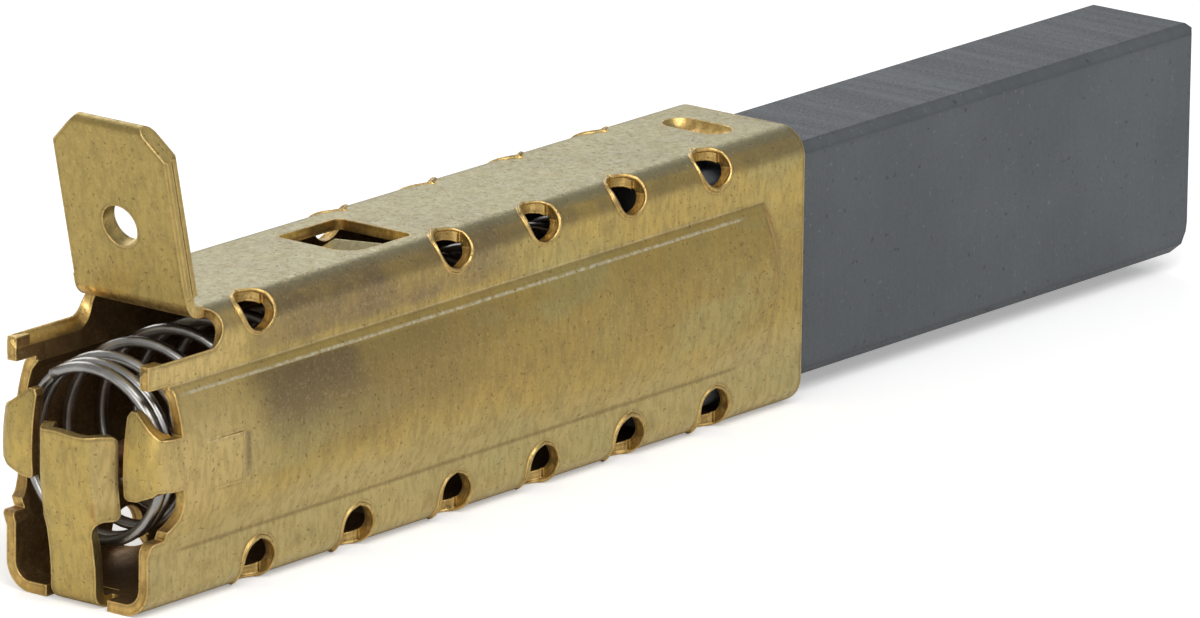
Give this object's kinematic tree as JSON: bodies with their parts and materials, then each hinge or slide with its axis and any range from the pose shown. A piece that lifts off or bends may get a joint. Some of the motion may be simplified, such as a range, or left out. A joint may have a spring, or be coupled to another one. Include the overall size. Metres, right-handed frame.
{
  "type": "carbon brush",
  "caption": "Cartridge carbon brush for a small universal motor: a spring-loaded graphite block in a folded brass sleeve with a blade terminal",
  "frame": {"origin": "on the outside of the sleeve's bottom wall, midway along its length and on its centre line", "axes": "+X runs along the sleeve towards the mouth and the commutator, +Z points out of the top wall towards the blade tab, +Y completes the right-handed frame"},
  "size_m": [0.0773, 0.0098, 0.0209],
  "materials": {
    "brass_sheet": "satin, slightly tarnished rolled sheet",
    "graphite": "matte sawn graphite",
    "copper_powder": "matte tamped copper powder",
    "spring_steel": "drawn spring wire",
    "copper_braid": "fine bare copper braid"
  },
  "bodies": {
    "sleeve": {"brush_sleeve": "brass_sheet", "pressure_spring": "spring_steel", "copper_shunt": "copper_braid"},
    "carbon": {"carbon_block": "graphite", "tamping_plug": "copper_powder"}
  },
  "joints": [
    {"name": "carbon_slide", "type": "slide", "parent": "sleeve", "child": "carbon", "axis": [-1, 0, 0], "range_m": [0, 0.0165], "stiffness_N_per_m": 60, "springref_m": -0.01, "deforming": ["pressure_spring", "copper_shunt"]}
  ]
}
